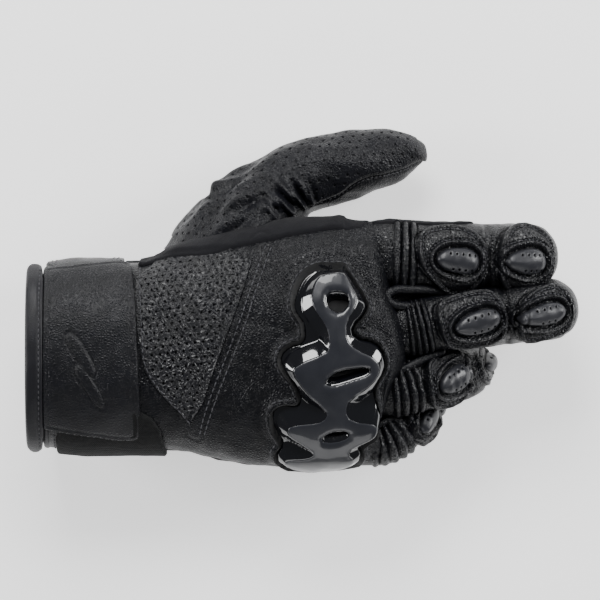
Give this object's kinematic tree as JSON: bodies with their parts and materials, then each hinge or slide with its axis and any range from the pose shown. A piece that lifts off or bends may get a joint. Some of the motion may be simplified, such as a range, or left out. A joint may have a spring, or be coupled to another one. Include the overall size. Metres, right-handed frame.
{
  "type": "riding glove",
  "caption": "Short-cuff leather riding glove for the right hand, with a moulded knuckle guard, perforated finger guards, a palm slider and a wrist strap that opens.",
  "frame": {"origin": "centre of the cuff opening, where the wrist goes in", "axes": "+X from the cuff to the fingertips, +Y towards the thumb, +Z out of the back of the hand"},
  "size_m": [0.2359, 0.1424, 0.0668],
  "materials": {
    "black_leather": "semi-matte full grain",
    "perforated_leather": "pebbled, perforated",
    "palm_suede": "matte suede",
    "side_strip": "matte woven",
    "stretch_gusset": "matte stretch",
    "lining": "brushed knit",
    "edge_binding": "smooth, folded",
    "loop_tape": "looped pile",
    "hook_tape": "hooks",
    "gloss_guard": "polished",
    "slider_plastic": "satin",
    "foam_base": "closed-cell foam",
    "perforated_guard": "satin, perforated"
  },
  "bodies": {
    "hand": {"hand_back_panel": "black_leather", "hand_palm_panel": "black_leather", "hand_lining": "lining", "index_side_strip": "side_strip", "perforated_back_insert": "perforated_leather", "knuckle_guard": "gloss_guard", "knuckle_foam": "foam_base", "palm_slider": "slider_plastic", "palm_patch": "palm_suede", "thumb_root_back": "black_leather", "thumb_root_palm": "black_leather", "finger_webs": "edge_binding"},
    "cuff": {"cuff_back_panel": "black_leather", "cuff_palm_panel": "black_leather", "cuff_lining": "lining", "cuff_edge_binding": "edge_binding", "loop_fastener": "loop_tape", "strap_anchor_tab": "black_leather", "wrist_gusset": "stretch_gusset"},
    "strap": {"wrist_strap": "black_leather", "strap_edge_binding": "edge_binding", "hook_fastener": "hook_tape"},
    "thumb_1": {"thumb_proximal_back": "black_leather", "thumb_proximal_palm": "black_leather", "thumb_accordion_gusset": "stretch_gusset", "thumb_joint_gusset": "stretch_gusset"},
    "thumb_2": {"thumb_distal_back": "black_leather", "thumb_distal_palm": "black_leather"},
    "index_1": {"index_proximal_back": "black_leather", "index_proximal_palm": "black_leather", "index_accordion_gusset": "stretch_gusset", "index_joint_gusset": "stretch_gusset", "index_knuckle_pad": "perforated_guard"},
    "index_2": {"index_distal_back": "black_leather", "index_distal_palm": "black_leather", "index_tip_pad": "perforated_guard"},
    "middle_1": {"middle_proximal_back": "black_leather", "middle_proximal_palm": "black_leather", "middle_accordion_gusset": "stretch_gusset", "middle_joint_gusset": "stretch_gusset", "middle_knuckle_pad": "perforated_guard"},
    "middle_2": {"middle_distal_back": "black_leather", "middle_distal_palm": "black_leather", "middle_tip_pad": "perforated_guard"},
    "ring_1": {"ring_proximal_back": "black_leather", "ring_proximal_palm": "black_leather", "ring_accordion_gusset": "stretch_gusset", "ring_joint_gusset": "stretch_gusset", "ring_knuckle_pad": "perforated_guard"},
    "ring_2": {"ring_distal_back": "black_leather", "ring_distal_palm": "black_leather", "ring_tip_pad": "perforated_guard"},
    "little_1": {"little_proximal_back": "black_leather", "little_proximal_palm": "black_leather", "little_accordion_gusset": "stretch_gusset", "little_joint_gusset": "stretch_gusset", "little_knuckle_pad": "perforated_guard"},
    "little_2": {"little_distal_back": "black_leather", "little_distal_palm": "black_leather", "little_tip_pad": "perforated_guard"}
  },
  "joints": [
    {"name": "wrist", "type": "hinge", "parent": "hand", "child": "cuff", "pos_m": [0.045, 0, 0.0015], "axis": [0, 1, 0], "range_deg": [-18, 18], "deforming": ["wrist_gusset"]},
    {"name": "strap_opening", "type": "hinge", "parent": "cuff", "child": "strap", "pos_m": [0.016, 0.04758, 0.008], "axis": [-1, 0, 0], "range_deg": [0, 105]},
    {"name": "thumb_root", "type": "hinge", "parent": "hand", "child": "thumb_1", "pos_m": [0.1047, 0.0728, -0.008], "axis": [-0.1814, 0.6172, -0.7656], "range_deg": [-12, 35], "deforming": ["thumb_accordion_gusset"]},
    {"name": "thumb_middle", "type": "hinge", "parent": "thumb_1", "child": "thumb_2", "pos_m": [0.13137, 0.07945, -0.00896], "axis": [-0.1556, 0.6272, -0.7631], "range_deg": [-10, 50], "deforming": ["thumb_joint_gusset"]},
    {"name": "index_root", "type": "hinge", "parent": "hand", "child": "index_1", "pos_m": [0.1517, 0.0432, 0.012], "axis": [0, 1, 0], "range_deg": [-12, 52], "deforming": ["index_accordion_gusset"]},
    {"name": "index_middle", "type": "hinge", "parent": "index_1", "child": "index_2", "pos_m": [0.19131, 0.0432, 0.00643], "axis": [0, 1, 0], "range_deg": [-15, 60], "deforming": ["index_joint_gusset"]},
    {"name": "middle_root", "type": "hinge", "parent": "hand", "child": "middle_1", "pos_m": [0.1583, 0.012, 0.013], "axis": [-0.1132, 0.9936, 0], "range_deg": [-12, 52], "deforming": ["middle_accordion_gusset"]},
    {"name": "middle_middle", "type": "hinge", "parent": "middle_1", "child": "middle_2", "pos_m": [0.19913, 0.01665, 0.00722], "axis": [-0.1132, 0.9936, 0], "range_deg": [-14, 60], "deforming": ["middle_joint_gusset"]},
    {"name": "ring_root", "type": "hinge", "parent": "hand", "child": "ring_1", "pos_m": [0.1527, -0.0138, 0.012], "axis": [-0.1908, 0.9816, 0], "range_deg": [-18, 45], "deforming": ["ring_accordion_gusset"]},
    {"name": "ring_middle", "type": "hinge", "parent": "ring_1", "child": "ring_2", "pos_m": [0.17957, -0.00858, -0.00255], "axis": [-0.2924, 0.9563, 0], "range_deg": [-26, 35], "deforming": ["ring_joint_gusset"]},
    {"name": "little_root", "type": "hinge", "parent": "hand", "child": "little_1", "pos_m": [0.1485, -0.0365, 0.0084], "axis": [-0.2924, 0.9563, 0], "range_deg": [-24, 28], "deforming": ["little_accordion_gusset"]},
    {"name": "little_middle", "type": "hinge", "parent": "little_1", "child": "little_2", "pos_m": [0.16386, -0.0318, -0.00944], "axis": [-0.3584, 0.9336, 0], "range_deg": [-34, 30], "deforming": ["little_joint_gusset"]}
  ]
}
